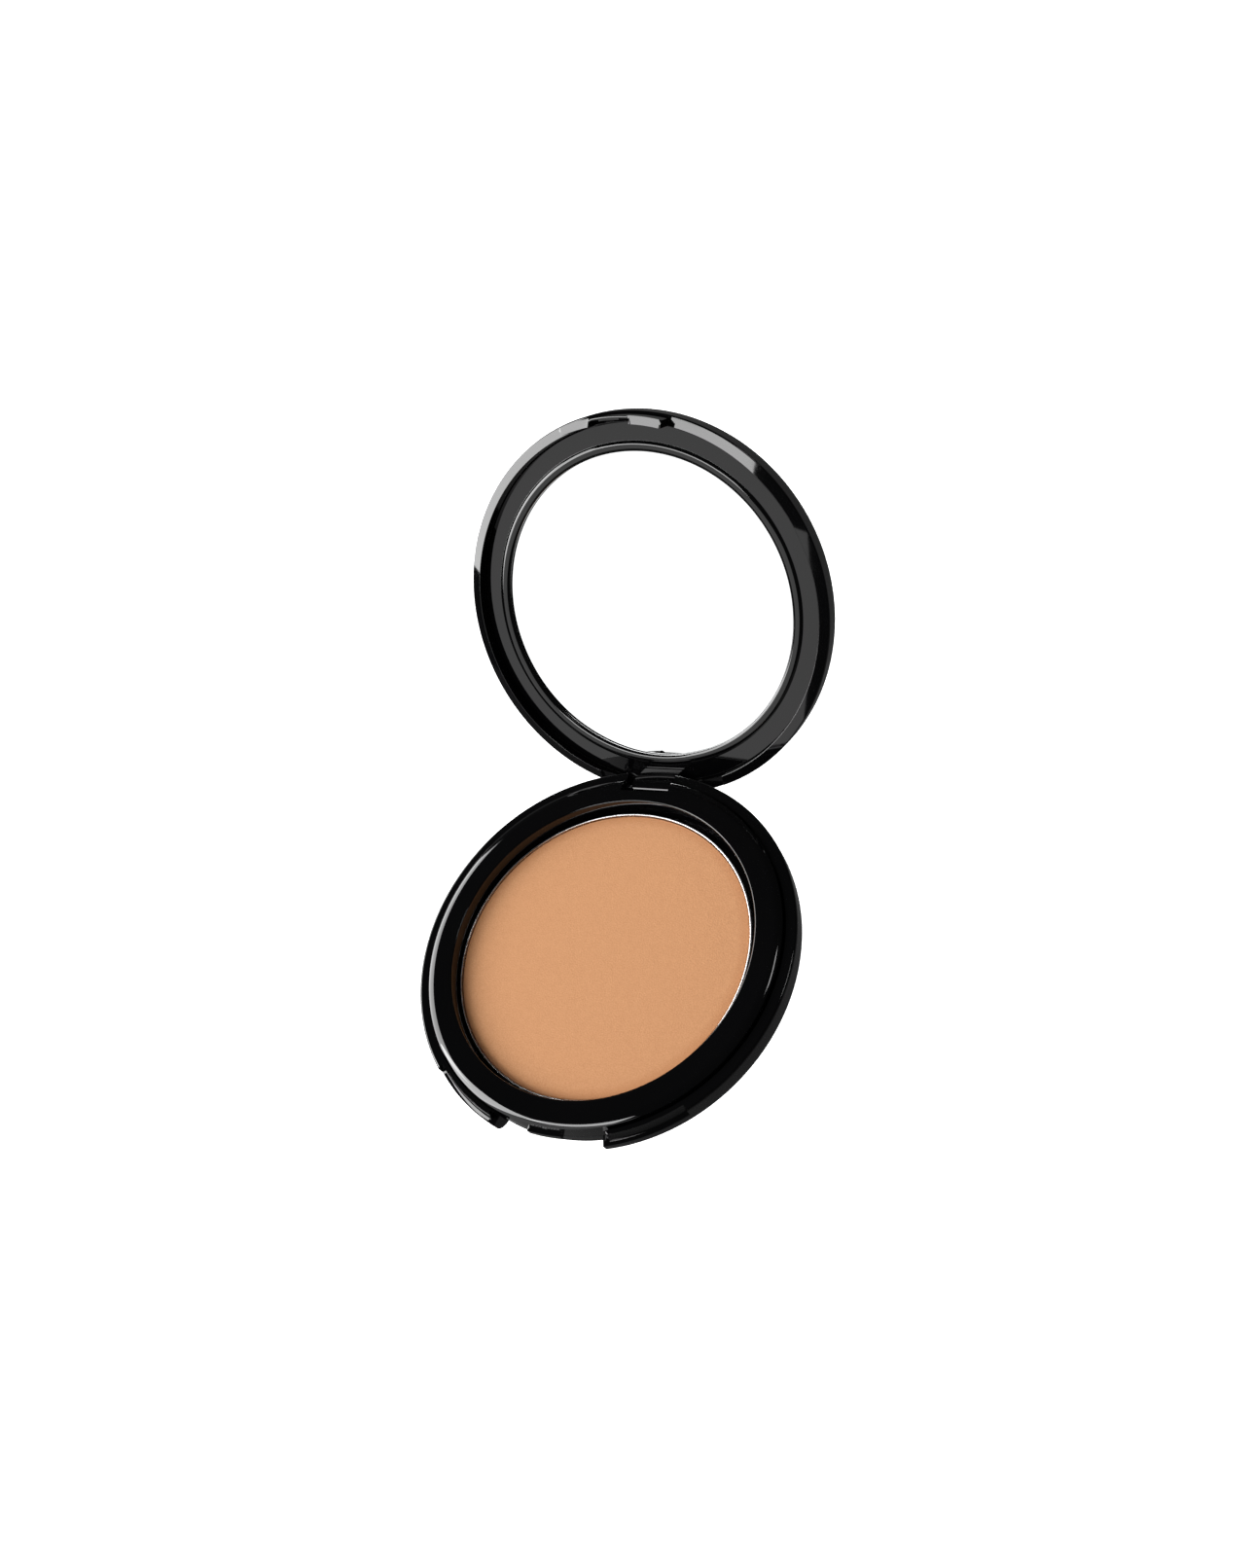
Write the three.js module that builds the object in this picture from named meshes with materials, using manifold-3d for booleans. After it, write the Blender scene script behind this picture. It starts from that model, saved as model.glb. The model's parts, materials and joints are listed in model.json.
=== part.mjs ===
// Round pressed-powder compact, open, with a mirror in the lid.
// Millimetres, +Z up. The origin is the centre of the flat underside, the hinge is at +Y
// and the latch at -Y. Lid pieces are drawn shut and turned open about the hinge pin.

import * as THREE from 'three';
import { mergeVertices } from 'three/addons/utils/BufferGeometryUtils.js';
import Module from 'manifold-3d';

const wasm = await Module();
wasm.setup();

// ---- driving dimensions --------------------------------------------------------------

const SEGMENTS = 72; // flats round every turned piece
const ARC_STEPS = 2; // profile arcs get twice this many flats
const FIT = 0.3; // gap between pieces that meet
const STACK = 0.12; // gap between the layers of a glued stack
const CUT = 1; // how far a cutter runs past what it cuts

const caseRadius = 38.5; // base and lid share one outer radius
const baseHeight = 5.45; // top of the flange that the lid lands on
const baseFloor = 1.1;
const undersideRound = 2.2; // rounding from the underside into the side wall
const flangeRound = 0.5;
const flangeWidth = 2.1;
const deckRise = 1.25; // the deck stands this far above the flange
const deckWall = 1.0;
const shoulderRun = 1.6; // width of the deck's rounded shoulder
const shoulderDrop = 0.5;
const wellRound = 0.3;
const wellDraft = 0.3; // the well is this much narrower at its foot

const panRadius = 29.9;
const panRoom = 0.95; // mean gap between the pan and the well
const panDepth = 2.36;
const panSheet = 0.35;
const panOffset = [-0.35, -0.35]; // the pan is glued slightly towards the front left
const powderDip = 0.3; // cake edge below the pan's rim
const powderCrown = 0.12;
const powderShoulder = 6; // the crown levels out this far from the cake's edge
const glueMargin = 7.9; // the glue stops this far inside the pan
const glueThickness = 0.2;

const lidDepth = 6.25; // from the shut lid's rim to its top
const lidPlate = 1.2;
const lidRound = 3.0;
const lidWall = 2.04; // thickness of the lid's rim
const lidWallDraft = 0.15;
const rimSlope = 0.4; // the rim rises this much from its inner to its outer edge
const rimRound = 0.25;
const ringDepth = 2.2; // the flat ring round the mirror lies this far inside the rim
const ringThickness = 0.6;
const bezelHeight = 0.35; // the bead round the mirror stands this far off the ring
const bezelSlope = 1.3; // width of the bead's outer slope
const bezelWidth = 0.85;
const mirrorOpening = 30.75;
const mirrorOverlap = 1.2; // the mirror runs this far behind the bezel
const mirrorGlass = 1.3;
const ribWidth = 1.0;
const padMargin = 4.5; // the pad stops this far inside the mirror

const hingeInset = 2.4; // pin's centre from the case's rear
const hingeDrop = 2.95; // pin's centre below the flange
const openAngle = 127.5; // degrees from shut to the stop
const pinRadius = 0.65;
const pinLength = 23;
const pinBore = 0.1; // radial clearance of the pin in the base
const pinRunning = 0.12; // radial clearance of the pin in the knuckle
const knuckleWidth = 8.4;
const knuckleWall = 1.41; // plastic round the pin in the knuckle
const notchSide = 1.0; // room beside the knuckle
const notchRoom = 0.84; // room in front of the knuckle
const bossWidth = 7.2; // length of base on each side of the notch that holds the pin
const bossWall = 1.45; // plastic round the pin in front of it
const swingRoom = 0.45; // the lid's rim clears the base's rear edge by this
const heelReach = 0.36; // the stop heel stands this far off the knuckle
const heelSpan = 24; // degrees
const heelStopAngle = -158; // where the heel rests when the lid is open
const stopRibThickness = 0.6;

const recessAngle = 17; // half-width of the latch recess, degrees
const recessTopAngle = 19; // the flange's upper part stands further back
const scallopEnd = 41.8; // finger cut-outs run from the recess to here, degrees
const scallopInset = 1.3; // depth of the cut-out at the flange's top
const scallopLedgeInset = 0.65; // and at its ledge
const scallopDepth = 2.05; // from the flange's top down to the ledge
const scallopEndRound = 0.8;
const tabAngle = 16.4; // half-width of the lid's latch tab, degrees
const tabLength = 3.55;
const tabInset = 0.4;
const tabThickness = 1.5;
const tabSlant = 0.37; // the tab's free end is cut back this much at its outer edge
const pocketWidth = 8.5;
const pocketSkin = 0.48;
const catchAngle = 5.25;
const catchReach = 1.0;
const catchDrop = 0.25; // top of the catch below the flange
const catchHeight = 1.5;
const beadDepth = 0.32;
const beadHeight = 0.5;

// ---- sizes that follow ---------------------------------------------------------------

const flangeInner = caseRadius - flangeWidth;
const deckHeight = baseHeight + deckRise;
const deckUnder = deckHeight - deckWall;
const skirtRadius = flangeInner - FIT;
const skirtFoot = baseFloor + FIT;
const shoulderEdge = skirtRadius - 0.1;
const wellRadius = panRadius + panRoom;
const panBottom = baseFloor + 2 * STACK + glueThickness;
const panTop = panBottom + panDepth;
const scallopLedge = baseHeight - scallopDepth;
const scallopTopRadius = caseRadius - scallopInset;
const scallopLedgeRadius = caseRadius - scallopLedgeInset;
const catchTop = baseHeight - catchDrop;

const hingeY = caseRadius - hingeInset;
const hingeZ = baseHeight - hingeDrop;
const knuckleRadius = pinRadius + knuckleWall;
const notchHalf = knuckleWidth / 2 + notchSide;
const notchFront = hingeY - knuckleRadius - notchRoom;
const bossEnd = notchHalf + bossWidth;
const bossFront = hingeY - pinRadius - bossWall;
const bossTop = deckUnder - 0.5;
const heelRadius = knuckleRadius + heelReach;
// Behind the pin, the lid's rim would meet the base's rear edge as it swings.
const swingRadius = Math.hypot(hingeInset, hingeDrop) + swingRoom;
const swingHalfLength = Math.sqrt(caseRadius ** 2 - hingeY ** 2) + FIT;

const rimLevel = baseHeight + FIT; // underside of the lid's rim when shut
const lidHeight = rimLevel + lidDepth;
const lidInner = caseRadius - lidWall;
const lidCavity = lidInner - lidWallDraft;
const lidCavityTop = lidHeight - lidPlate;
const ringLevel = rimLevel + ringDepth;
const ringBack = ringLevel + ringThickness;
const ringOuter = lidCavity - FIT;
const bezelTop = ringLevel - bezelHeight;
const mirrorRadius = mirrorOpening + mirrorOverlap;
const mirrorFront = ringBack + FIT;
const tabOuter = caseRadius - tabInset;
const open = THREE.MathUtils.degToRad(openAngle);

// ---- shapes --------------------------------------------------------------------------

const polar = (radius, degrees) => {
  const angle = THREE.MathUtils.degToRad(degrees);
  return new THREE.Vector2(radius * Math.sin(angle), -radius * Math.cos(angle));
};

function solidOf(geometry) {
  const bare = geometry.clone();
  for (const name of ['normal', 'uv']) bare.deleteAttribute(name);
  const merged = mergeVertices(bare, 1e-4);
  const corners = merged.index.array;
  const kept = [];
  for (let i = 0; i < corners.length; i += 3) {
    const [a, b, c] = [corners[i], corners[i + 1], corners[i + 2]];
    if (a !== b && b !== c && c !== a) kept.push(a, b, c);
  }
  const vertProperties = new Float32Array(merged.attributes.position.array);
  const build = (triVerts) => new wasm.Manifold(
    new wasm.Mesh({ numProp: 3, vertProperties, triVerts: new Uint32Array(triVerts) }));
  const solid = build(kept);
  return solid.volume() > 0 ? solid : build(kept.reverse());
}

function geometryOf(solid) {
  const mesh = solid.getMesh();
  const geometry = new THREE.BufferGeometry();
  geometry.setAttribute('position', new THREE.BufferAttribute(mesh.vertProperties, 3));
  geometry.setIndex(new THREE.BufferAttribute(mesh.triVerts, 1));
  geometry.computeVertexNormals();
  return geometry;
}

// Turns a profile of (radius, height) about Z.
function turned(profile, closed = false) {
  const points = profile.getPoints(ARC_STEPS);
  if (closed) points.push(points[0].clone());
  return solidOf(new THREE.LatheGeometry(points, SEGMENTS).rotateX(Math.PI / 2));
}

function profileOf(...corners) {
  const path = new THREE.Path().moveTo(...corners[0]);
  corners.slice(1).forEach((corner) => path.lineTo(...corner));
  return path;
}

function disc(radius, bottom, top) {
  return turned(profileOf([0, bottom], [radius, bottom], [radius, top], [0, top]));
}

function ring(inner, outer, bottom, top) {
  return turned(profileOf([inner, bottom], [outer, bottom], [outer, top], [inner, top]), true);
}

function prism(outline, bottom, top) {
  const options = { depth: top - bottom, bevelEnabled: false, curveSegments: 6 };
  return solidOf(new THREE.ExtrudeGeometry(outline, options).translate(0, 0, bottom));
}

function block(x0, x1, y0, y1, z0, z1) {
  const geometry = new THREE.BoxGeometry(x1 - x0, y1 - y0, z1 - z0);
  return solidOf(geometry.translate((x0 + x1) / 2, (y0 + y1) / 2, (z0 + z1) / 2));
}

// A wedge of the plan, wide enough to pass the case, between two angles from the front.
function wedge(from, to, bottom, top) {
  const reach = caseRadius + 4;
  const corners = [new THREE.Vector2(0, 0)];
  const steps = 4;
  for (let i = 0; i <= steps; i += 1) corners.push(polar(reach, from + ((to - from) * i) / steps));
  return prism(new THREE.Shape(corners), bottom, top);
}

function sector(inner, outer, from, to, bottom, top) {
  return ring(inner, outer, bottom, top).intersect(wedge(from, to, bottom - CUT, top + CUT));
}

// A cylinder along X about the hinge pin.
function barrel(radius, halfLength, flats = 32) {
  const geometry = new THREE.CylinderGeometry(radius, radius, 2 * halfLength, flats);
  return solidOf(geometry.rotateZ(Math.PI / 2).translate(0, hingeY, hingeZ));
}

// A side view in (y, z), stretched along X to the width.
function sideExtrusion(corners, width) {
  const outline = new THREE.Shape(corners.map(([y, z]) => new THREE.Vector2(y, z)));
  const geometry = new THREE.ExtrudeGeometry(outline, { depth: width, bevelEnabled: false });
  const turn = new THREE.Matrix4().set(0, 0, 1, -width / 2, 1, 0, 0, 0, 0, 1, 0, 0, 0, 0, 0, 1);
  return solidOf(geometry.applyMatrix4(turn));
}

// ---- base ----------------------------------------------------------------------------

function latchRecess() {
  const lower = sector(skirtRadius - deckWall - FIT, caseRadius + CUT,
    -recessAngle, recessAngle, -CUT, scallopLedge);
  const upper = sector(skirtRadius - deckWall - FIT, caseRadius + CUT,
    -recessTopAngle, recessTopAngle, scallopLedge - 0.1, baseHeight + CUT);
  return lower.add(upper);
}

function fingerScallop(side) {
  const outer = caseRadius + CUT;
  const cove = turned(profileOf(
    [scallopTopRadius, baseHeight + CUT],
    [scallopTopRadius, baseHeight - 0.3],
    [scallopTopRadius + 0.12, scallopLedge + 0.9],
    [scallopTopRadius + 0.32, scallopLedge + 0.35],
    [scallopLedgeRadius, scallopLedge],
    [outer, scallopLedge - 0.2],
    [outer, baseHeight + CUT],
  ), true);
  const lastAngle = scallopEnd - THREE.MathUtils.radToDeg(scallopEndRound / scallopTopRadius);
  const [from, to] = [recessAngle - 1, lastAngle].map((angle) => side * angle);
  const centre = polar(scallopTopRadius + scallopEndRound, to);
  const end = new THREE.CylinderGeometry(scallopEndRound, scallopEndRound, baseHeight, 16);
  end.rotateX(Math.PI / 2);
  end.translate(centre.x, centre.y, scallopLedge + baseHeight / 2 - 0.4);
  const plan = wedge(Math.min(from, to), Math.max(from, to), -CUT, baseHeight + CUT);
  return cove.intersect(plan.add(solidOf(end)));
}

function hingeBosses() {
  const bosses = block(-bossEnd, bossEnd, bossFront, caseRadius, baseFloor / 2, bossTop);
  return bosses.intersect(disc(caseRadius - undersideRound / 2, 0, baseHeight));
}

function hingeNotch() {
  return block(-notchHalf, notchHalf, notchFront, caseRadius + CUT, -CUT, deckHeight + CUT);
}

function baseShell() {
  const profile = new THREE.Path().moveTo(0, 0);
  profile.lineTo(caseRadius - undersideRound, 0);
  profile.absarc(caseRadius - undersideRound, undersideRound, undersideRound, -Math.PI / 2, 0);
  profile.lineTo(caseRadius, baseHeight - flangeRound);
  profile.absarc(caseRadius - flangeRound, baseHeight - flangeRound, flangeRound, 0, Math.PI / 2);
  profile.lineTo(flangeInner, baseHeight);
  profile.lineTo(flangeInner, baseFloor);
  profile.lineTo(0, baseFloor);
  let shell = turned(profile).add(hingeBosses());
  shell = shell.subtract(latchRecess());
  for (const side of [-1, 1]) shell = shell.subtract(fingerScallop(side));
  shell = shell.subtract(hingeNotch());
  return shell.subtract(barrel(pinRadius + pinBore, pinLength / 2 + FIT, 24));
}

function innerTray() {
  const edgeHeight = deckHeight - shoulderDrop;
  const run = shoulderRun;
  const bend = (run ** 2 + shoulderDrop ** 2) / (2 * shoulderDrop);
  const tilt = Math.asin(run / bend);
  const wellWall = wellRadius + deckWall;
  const profile = new THREE.Path().moveTo(skirtRadius, skirtFoot);
  profile.lineTo(shoulderEdge, edgeHeight);
  profile.absarc(shoulderEdge - run, deckHeight - bend, bend, Math.PI / 2 - tilt, Math.PI / 2);
  profile.lineTo(wellRadius + wellRound, deckHeight);
  profile.absarc(wellRadius + wellRound, deckHeight - wellRound, wellRound, Math.PI / 2, Math.PI);
  profile.lineTo(wellRadius - wellDraft, skirtFoot);
  profile.lineTo(wellWall - wellDraft, skirtFoot);
  profile.lineTo(wellWall, deckUnder);
  profile.lineTo(skirtRadius - deckWall, deckUnder);
  profile.lineTo(skirtRadius - deckWall, skirtFoot);
  let tray = turned(profile, true);

  const apron = sector(skirtRadius - deckWall, skirtRadius,
    -recessAngle + 0.4, recessAngle - 0.4, 0, skirtFoot + CUT);
  const latchCatch = sector(skirtRadius - deckWall / 2, skirtRadius + catchReach,
    -catchAngle, catchAngle, catchTop - catchHeight, catchTop);
  tray = tray.add(apron).add(latchCatch);

  const bossRoom = block(-bossEnd - FIT, bossEnd + FIT, bossFront - FIT, caseRadius,
    -CUT, bossTop + FIT);
  tray = tray.subtract(bossRoom).subtract(hingeNotch());
  const notchWall = block(-notchHalf, notchHalf, notchFront - deckWall, notchFront,
    skirtFoot, deckUnder + 0.2);
  return tray.add(notchWall).add(stopRib());
}

// The rib on the notch's front wall that the knuckle's heel comes to rest under.
function stopRib() {
  const face = THREE.MathUtils.degToRad(heelStopAngle - heelSpan / 2);
  const underside = hingeZ + heelRadius * Math.sin(face) + FIT;
  const reach = hingeY - knuckleRadius - FIT / 2;
  return block(-knuckleWidth / 2, knuckleWidth / 2, notchFront - 0.2, reach,
    underside, underside + stopRibThickness);
}

function pan() {
  const inside = panRadius - panSheet;
  return turned(profileOf([0, panBottom], [panRadius, panBottom], [panRadius, panTop],
    [inside, panTop], [inside, panBottom + panSheet], [0, panBottom + panSheet]));
}

function powderCake() {
  const bottom = panBottom + panSheet + STACK;
  const radius = panRadius - panSheet - STACK;
  const edge = panTop - powderDip;
  return turned(profileOf([0, bottom], [radius, bottom], [radius, edge - 0.15],
    [radius - 0.3, edge], [radius - powderShoulder, edge + powderCrown * 0.6],
    [0, edge + powderCrown]));
}

function panGlue() {
  const bottom = baseFloor + STACK;
  return disc(panRadius - glueMargin, bottom, bottom + glueThickness);
}

// ---- lid -----------------------------------------------------------------------------

function latchTab() {
  const bottom = rimLevel - tabLength;
  const inner = tabOuter - tabThickness;
  const skinInner = tabOuter - pocketSkin;
  const top = rimLevel + 2 * rimSlope;
  const pocketAngle = THREE.MathUtils.radToDeg(Math.asin(pocketWidth / 2 / skinInner));
  let tab = sector(skinInner, tabOuter, -tabAngle, tabAngle, bottom, top);
  for (const side of [-1, 1]) {
    const ends = [side * pocketAngle, side * tabAngle].sort((a, b) => a - b);
    tab = tab.add(sector(inner, skinInner + 0.1, ...ends, bottom, top));
  }
  const slope = tabSlant / tabThickness;
  tab = tab.subtract(turned(profileOf(
    [inner - CUT, bottom - CUT - slope],
    [tabOuter + CUT, bottom - CUT - slope],
    [tabOuter + CUT, bottom + tabSlant + slope * CUT],
    [inner - CUT, bottom - slope * CUT],
  ), true));
  const beadBottom = bottom + tabSlant;
  return tab.add(sector(skinInner - beadDepth, skinInner + 0.1,
    -pocketAngle / 2, pocketAngle / 2, beadBottom, beadBottom + beadHeight));
}

function knuckle() {
  const web = sideExtrusion([
    [hingeY - knuckleRadius, hingeZ],
    [notchFront + 0.5, deckHeight + FIT],
    [notchFront + 0.5, ringLevel - FIT],
    [caseRadius - 0.8, ringLevel - FIT],
    [caseRadius - 0.35, rimLevel],
    [hingeY + knuckleRadius, hingeZ],
  ], knuckleWidth);
  const restAngle = heelStopAngle + openAngle;
  const heelCorner = (radius, degrees) => {
    const angle = THREE.MathUtils.degToRad(degrees);
    return [hingeY + radius * Math.cos(angle), hingeZ + radius * Math.sin(angle)];
  };
  const heel = sideExtrusion([
    [hingeY, hingeZ],
    heelCorner(heelRadius, restAngle - heelSpan / 2),
    heelCorner(heelRadius, restAngle),
    heelCorner(heelRadius, restAngle + heelSpan / 2),
  ], knuckleWidth);
  return web.add(barrel(knuckleRadius, knuckleWidth / 2)).add(heel);
}

function lidShell() {
  const profile = new THREE.Path().moveTo(0, lidHeight);
  profile.lineTo(caseRadius - lidRound, lidHeight);
  profile.absarc(caseRadius - lidRound, lidHeight - lidRound, lidRound, Math.PI / 2, 0, true);
  profile.lineTo(caseRadius, rimLevel + rimSlope + rimRound);
  profile.lineTo(caseRadius - rimRound, rimLevel + rimSlope);
  profile.lineTo(lidInner + rimRound / 2, rimLevel);
  profile.lineTo(lidInner, rimLevel + rimRound / 2);
  profile.lineTo(lidCavity, ringBack);
  profile.lineTo(lidCavity, lidCavityTop);
  profile.lineTo(0, lidCavityTop);
  const swing = barrel(swingRadius, swingHalfLength, 48);
  const shell = turned(profile).subtract(swing).add(latchTab()).add(knuckle());
  return shell.subtract(barrel(pinRadius + pinRunning, knuckleWidth, 24));
}

function mirrorFrame() {
  const ribInner = mirrorRadius + FIT;
  const ribTop = lidCavityTop - FIT;
  const beadEdge = mirrorOpening + bezelWidth;
  return turned(profileOf(
    [mirrorOpening, ringBack],
    [ribInner, ringBack],
    [ribInner, ribTop],
    [ribInner + ribWidth, ribTop],
    [ribInner + ribWidth, ringBack],
    [ringOuter, ringBack],
    [ringOuter, ringLevel],
    [beadEdge + bezelSlope, ringLevel],
    [beadEdge, bezelTop + bezelHeight * 0.3],
    [beadEdge - bezelWidth * 0.3, bezelTop],
    [mirrorOpening + bezelWidth * 0.3, bezelTop],
    [mirrorOpening, bezelTop + bezelHeight * 0.5],
  ), true);
}

function mirror() {
  return disc(mirrorRadius, mirrorFront, mirrorFront + mirrorGlass);
}

function mirrorPad() {
  const bottom = mirrorFront + mirrorGlass + STACK;
  return disc(mirrorRadius - padMargin, bottom, lidCavityTop - STACK);
}

// ---- materials and assembly ----------------------------------------------------------

const finishes = {
  case: { color: 0x08090a, roughness: 0.08, metalness: 0 },
  mirror: { color: 0xf4f6f7, roughness: 0.02, metalness: 1 },
  powder: { color: 0xd69c70, roughness: 0.9, metalness: 0 },
  pan: { color: 0xc9ccd0, roughness: 0.3, metalness: 1 },
  steel: { color: 0xb4b7ba, roughness: 0.35, metalness: 1 },
  adhesive: { color: 0xe8e4d8, roughness: 0.7, metalness: 0 },
};

function part(name, solid, finish) {
  const mesh = new THREE.Mesh(geometryOf(solid), new THREE.MeshStandardMaterial(finish));
  mesh.name = name;
  return mesh;
}

const panGroup = new THREE.Group();
panGroup.position.set(...panOffset, 0);
panGroup.add(
  part('powder_pan', pan(), finishes.pan),
  part('powder_cake', powderCake(), finishes.powder),
  part('pan_adhesive', panGlue(), finishes.adhesive),
);

const base = new THREE.Group();
base.add(
  part('base_shell', baseShell(), finishes.case),
  part('inner_tray', innerTray(), finishes.case),
  part('hinge_pin', barrel(pinRadius, pinLength / 2, 24), finishes.steel),
  panGroup,
);

// The lid is drawn shut with the pin at its group's origin, then turned open.
const lidParts = new THREE.Group();
lidParts.position.set(0, -hingeY, -hingeZ);
lidParts.add(
  part('lid_shell', lidShell(), finishes.case),
  part('mirror_frame', mirrorFrame(), finishes.case),
  part('mirror', mirror(), finishes.mirror),
  part('mirror_adhesive', mirrorPad(), finishes.adhesive),
);
const lid = new THREE.Group();
lid.position.set(0, hingeY, hingeZ);
lid.rotation.x = -open;
lid.add(lidParts);

const compact = new THREE.Group();
compact.add(base, lid);

export default compact;
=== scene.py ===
# %% [markdown]
# # A powder compact, open on its hinge
#
# The compact is a handful of glossy black mouldings round two flat things: a pan of pressed
# powder and a mirror. A CAD model gives every size and place. Here each moulding is made
# again with smooth curves and softly broken edges, and each finish is mixed from noise and waves.
#
# The mouldings are drawn in millimetres, with the lid shut, and put in place at the end.

import json
import math

import bmesh
import bpy
from mathutils import Matrix, Vector


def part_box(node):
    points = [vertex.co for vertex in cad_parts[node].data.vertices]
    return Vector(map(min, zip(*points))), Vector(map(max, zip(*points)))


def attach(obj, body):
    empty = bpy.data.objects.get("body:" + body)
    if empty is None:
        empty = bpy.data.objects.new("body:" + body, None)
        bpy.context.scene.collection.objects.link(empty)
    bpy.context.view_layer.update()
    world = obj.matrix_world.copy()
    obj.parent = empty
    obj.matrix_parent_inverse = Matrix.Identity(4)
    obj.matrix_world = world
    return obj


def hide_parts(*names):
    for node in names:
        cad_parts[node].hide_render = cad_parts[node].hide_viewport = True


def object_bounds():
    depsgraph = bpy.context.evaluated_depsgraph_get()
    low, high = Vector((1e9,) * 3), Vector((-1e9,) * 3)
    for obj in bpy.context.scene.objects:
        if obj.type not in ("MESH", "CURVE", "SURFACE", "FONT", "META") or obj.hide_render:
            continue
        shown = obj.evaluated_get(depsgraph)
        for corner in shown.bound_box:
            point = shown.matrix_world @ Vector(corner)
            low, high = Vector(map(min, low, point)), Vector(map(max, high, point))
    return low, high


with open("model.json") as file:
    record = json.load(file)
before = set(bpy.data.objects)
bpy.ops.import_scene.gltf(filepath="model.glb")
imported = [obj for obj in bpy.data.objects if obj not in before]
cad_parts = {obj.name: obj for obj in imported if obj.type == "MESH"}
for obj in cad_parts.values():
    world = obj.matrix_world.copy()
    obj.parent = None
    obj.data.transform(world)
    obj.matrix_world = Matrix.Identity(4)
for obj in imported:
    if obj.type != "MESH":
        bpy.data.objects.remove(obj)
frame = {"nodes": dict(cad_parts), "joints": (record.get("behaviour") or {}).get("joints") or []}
cad_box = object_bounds()
scene = bpy.context.scene
MM = 0.001
print("CAD pieces:", ", ".join(sorted(frame["nodes"])))

# %% [markdown]
# ## The camera
#
# The compact is seen from above, in front and to the right, so close that the base looks larger
# than the lid. The lens is only moderately wide, and the sensor's longer side is upright.

# %% Camera
camera = bpy.data.objects.new("camera", bpy.data.cameras.new("camera"))
scene.collection.objects.link(camera)
camera.location = Vector((119.0, -87.2, 220.8)) * MM
camera.rotation_euler = [math.radians(angle) for angle in (33.52, 21.15, 16.70)]
camera.data.lens = 31.35
camera.data.sensor_width = 36
camera.data.clip_start = 0.01
scene.camera = camera
print("camera", round(camera.location.length, 3), "m from the base's centre")

# %% [markdown]
# ## Sizes
#
# The outer sizes come from the CAD pieces' boxes, so the looks follow the model if it changes.
# The rest are the small sizes that a box doesn't show, such as the width of a lip.

# %% Sizes taken from the CAD pieces, in millimetres
def box_mm(node):
    """The lowest and highest corners of a CAD piece, in millimetres."""
    low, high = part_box(node)
    return low / MM, high / MM


hinge = frame["joints"][0]
HINGE_Y, HINGE_Z = [value / MM for value in hinge["pos_m"][1:]]
OPEN_ANGLE = math.radians(hinge["range_deg"][1])

shell_low, shell_high = box_mm("base_shell")
tray_low, tray_high = box_mm("inner_tray")
pan_low, pan_high = box_mm("powder_pan")
cake_low, cake_high = box_mm("powder_cake")

CASE_RADIUS = shell_high.x
FLANGE_TOP = shell_high.z
DECK_TOP = tray_high.z
SKIRT_RADIUS = tray_high.x
SKIRT_FOOT = 1.4
PAN_CENTRE = (pan_low + pan_high) / 2
PAN_RADIUS = (pan_high.x - pan_low.x) / 2
PAN_TOP = pan_high.z
CAKE_RADIUS = (cake_high.x - cake_low.x) / 2
print(f"case radius {CASE_RADIUS:.2f}, flange {FLANGE_TOP:.2f}, deck {DECK_TOP:.2f}")
print(f"pan radius {PAN_RADIUS:.2f} at ({PAN_CENTRE.x:.2f}, {PAN_CENTRE.y:.2f})")

# %% Small sizes, in millimetres
GAP = 0.3
FLOOR = 1.1
WELL_RADIUS = 30.85
RIM_LEVEL = FLANGE_TOP + GAP
RIM_SLOPE = 0.5
LID_TOP = RIM_LEVEL + 6.25
LID_INNER = CASE_RADIUS - 2.04
LID_CAVITY = LID_INNER - 0.15
RING_LEVEL = RIM_LEVEL + 2.2
RING_BACK = RING_LEVEL + 0.6
BEAD_TOP = RING_LEVEL - 0.35
MIRROR_OPENING = 30.75
MIRROR_RADIUS = MIRROR_OPENING + 1.2
MIRROR_FRONT = RING_BACK + 0.05
MIRROR_BACK = RING_BACK + GAP + 1.3
KNUCKLE_HALF = 4.2
NOTCH_HALF = 5.2
NOTCH_FRONT = 33.2
BOSS_END = 12.4
BOSS_FRONT = 34.0
BOSS_TOP = 5.2
PIN_BORE = 0.75
KNUCKLE_RADIUS = 2.06
HEEL_RADIUS = KNUCKLE_RADIUS + 0.36
SHOULDER_RUN = 1.6
SHOULDER_DROP = 0.5

# %% [markdown]
# ## Turning a profile
#
# Almost everything here is round, so the main tool is a lathe: an outline is drawn on the XZ
# plane, its corners are rounded with a vertex bevel, and `spin` carries it once round Z.
# One step is one degree, so a wall that is cut at a whole degree falls on an edge that is there.

# %% Lathe
STEPS = 360


def outline(bm, corners, closed):
    """Draws an outline through (radius, height, rounding) corners and rounds its corners."""
    points = [bm.verts.new((corner[0], 0, corner[1])) for corner in corners]
    pairs = list(zip(points, points[1:] + points[:1]))
    if not closed:
        pairs.pop()
    for pair in pairs:
        bm.edges.new(pair)
    for point, corner in zip(points, corners):
        rounding = corner[2] if len(corner) > 2 else 0
        if rounding:
            bmesh.ops.bevel(
                bm, geom=[point], offset=rounding, offset_type="OFFSET", affect="VERTICES",
                segments=8 if rounding > 0.6 else 4, profile=0.5, material=-1,
            )


def turn(corners, closed=True, steps=STEPS):
    """Spins an outline once round Z into a closed solid. An open one starts and ends on Z."""
    bm = bmesh.new()
    outline(bm, corners, closed)
    bmesh.ops.spin(
        bm, geom=bm.verts[:] + bm.edges[:], cent=(0, 0, 0), axis=(0, 0, 1),
        angle=2 * math.pi, steps=steps, use_merge=True,
    )
    bmesh.ops.remove_doubles(bm, verts=bm.verts, dist=0.0005)
    bmesh.ops.recalc_face_normals(bm, faces=bm.faces)
    return bm


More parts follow.
